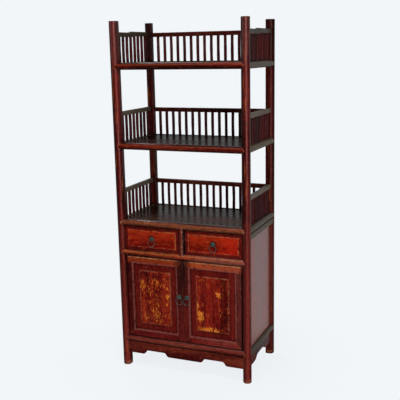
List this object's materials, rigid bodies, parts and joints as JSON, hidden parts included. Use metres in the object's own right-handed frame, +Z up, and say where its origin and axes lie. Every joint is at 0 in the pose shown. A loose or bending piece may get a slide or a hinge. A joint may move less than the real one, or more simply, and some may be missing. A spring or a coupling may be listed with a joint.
{
  "type": "book cabinet",
  "caption": "Open display shelves with spindle galleries above a low case with drawers and paired panelled doors, on round corner posts.",
  "frame": {"origin": "on the floor, in the middle of the four posts", "axes": "+Z up, +X to the right of someone facing the doors, the front faces -Y"},
  "size_m": [0.707, 0.424, 1.75],
  "materials": {
    "post_lacquer": "worn dark red lacquer, satin",
    "rail_lacquer": "worn red-brown lacquer, satin",
    "gallery_rail_lacquer": "worn red-brown lacquer, satin",
    "spindle_lacquer": "worn red-brown lacquer, satin",
    "shelf_board_lacquer": "near-black brown lacquer, glossy",
    "case_panel_lacquer": "dull red-brown lacquer",
    "apron_lacquer": "worn red lacquer, satin",
    "drawer_front_lacquer": "red lacquer, satin",
    "door_frame_lacquer": "worn dark red lacquer, satin",
    "door_panel_lacquer": "dark red lacquer, worn through to orange-brown in flecks",
    "drawer_box_wood": "bare softwood, aged",
    "inner_wood": "bare softwood, aged",
    "pull_mount_metal": "green-grey patina",
    "pull_ring_metal": "dull grey, handled"
  },
  "bodies": {
    "case": {"back_panel_lower": "case_panel_lacquer", "back_panel_upper": "case_panel_lacquer", "bottom_rail_back": "rail_lacquer", "bottom_rail_front": "rail_lacquer", "bottom_rails_side": "rail_lacquer", "cabinet_floor_board": "inner_wood", "case_top_board": "shelf_board_lacquer", "case_top_rail_back": "rail_lacquer", "case_top_rail_front": "rail_lacquer", "case_top_rails_side": "rail_lacquer", "drawer_divider": "rail_lacquer", "drawer_rail_back": "inner_wood", "drawer_rail_front": "rail_lacquer", "drawer_runners": "inner_wood", "front_apron": "apron_lacquer", "lower_gallery_rails": "gallery_rail_lacquer", "lower_gallery_spindles": "spindle_lacquer", "middle_gallery_rails": "gallery_rail_lacquer", "middle_gallery_spindles": "spindle_lacquer", "middle_shelf_board": "shelf_board_lacquer", "middle_shelf_rail_back": "rail_lacquer", "middle_shelf_rail_front": "rail_lacquer", "middle_shelf_rails_side": "rail_lacquer", "post_back_left": "post_lacquer", "post_back_right": "post_lacquer", "post_front_left": "post_lacquer", "post_front_right": "post_lacquer", "shelf_battens": "inner_wood", "side_apron_left": "apron_lacquer", "side_apron_right": "apron_lacquer", "side_panel_left": "case_panel_lacquer", "side_panel_right": "case_panel_lacquer", "top_gallery_rails": "gallery_rail_lacquer", "top_gallery_spindles": "spindle_lacquer", "top_shelf_board": "shelf_board_lacquer", "top_shelf_rail_back": "rail_lacquer", "top_shelf_rail_front": "rail_lacquer", "top_shelf_rails_side": "rail_lacquer"},
    "drawer_left": {"drawer_left_bottom": "drawer_box_wood", "drawer_left_box": "drawer_box_wood", "drawer_left_front": "drawer_front_lacquer", "drawer_left_pull_mount": "pull_mount_metal"},
    "door_left": {"door_left_hinge_stile": "door_frame_lacquer", "door_left_meeting_stile": "door_frame_lacquer", "door_left_panel": "door_panel_lacquer", "door_left_pull_mount": "pull_mount_metal", "door_left_rails": "door_frame_lacquer"},
    "drawer_left_ring": {"drawer_left_pull_ring": "pull_ring_metal"},
    "door_left_ring": {"door_left_pull_ring": "pull_ring_metal"},
    "drawer_right": {"drawer_right_bottom": "drawer_box_wood", "drawer_right_box": "drawer_box_wood", "drawer_right_front": "drawer_front_lacquer", "drawer_right_pull_mount": "pull_mount_metal"},
    "door_right": {"door_right_hinge_stile": "door_frame_lacquer", "door_right_meeting_stile": "door_frame_lacquer", "door_right_panel": "door_panel_lacquer", "door_right_pull_mount": "pull_mount_metal", "door_right_rails": "door_frame_lacquer"},
    "drawer_right_ring": {"drawer_right_pull_ring": "pull_ring_metal"},
    "door_right_ring": {"door_right_pull_ring": "pull_ring_metal"}
  },
  "joints": [
    {"name": "drawer_left_slide", "type": "slide", "parent": "case", "child": "drawer_left", "axis": [0, -1, 0], "range_m": [0, 0.24]},
    {"name": "drawer_right_slide", "type": "slide", "parent": "case", "child": "drawer_right", "axis": [0, -1, 0], "range_m": [0, 0.24]},
    {"name": "door_left_hinge", "type": "hinge", "parent": "case", "child": "door_left", "pos_m": [-0.2995, -0.19, 0.382], "axis": [0, 0, -1], "range_deg": [0, 100]},
    {"name": "door_right_hinge", "type": "hinge", "parent": "case", "child": "door_right", "pos_m": [0.2995, -0.19, 0.382], "axis": [0, 0, 1], "range_deg": [0, 100]},
    {"name": "drawer_left_ring_swing", "type": "hinge", "parent": "drawer_left", "child": "drawer_left_ring", "pos_m": [-0.16425, -0.2052, 0.6886], "axis": [-1, 0, 0], "range_deg": [0, 150]},
    {"name": "drawer_right_ring_swing", "type": "hinge", "parent": "drawer_right", "child": "drawer_right_ring", "pos_m": [0.16425, -0.2052, 0.6886], "axis": [-1, 0, 0], "range_deg": [0, 150]},
    {"name": "door_left_ring_swing", "type": "hinge", "parent": "door_left", "child": "door_left_ring", "pos_m": [-0.02075, -0.2052, 0.4016], "axis": [-1, 0, 0], "range_deg": [0, 150]},
    {"name": "door_right_ring_swing", "type": "hinge", "parent": "door_right", "child": "door_right_ring", "pos_m": [0.02075, -0.2052, 0.4016], "axis": [-1, 0, 0], "range_deg": [0, 150]}
  ]
}
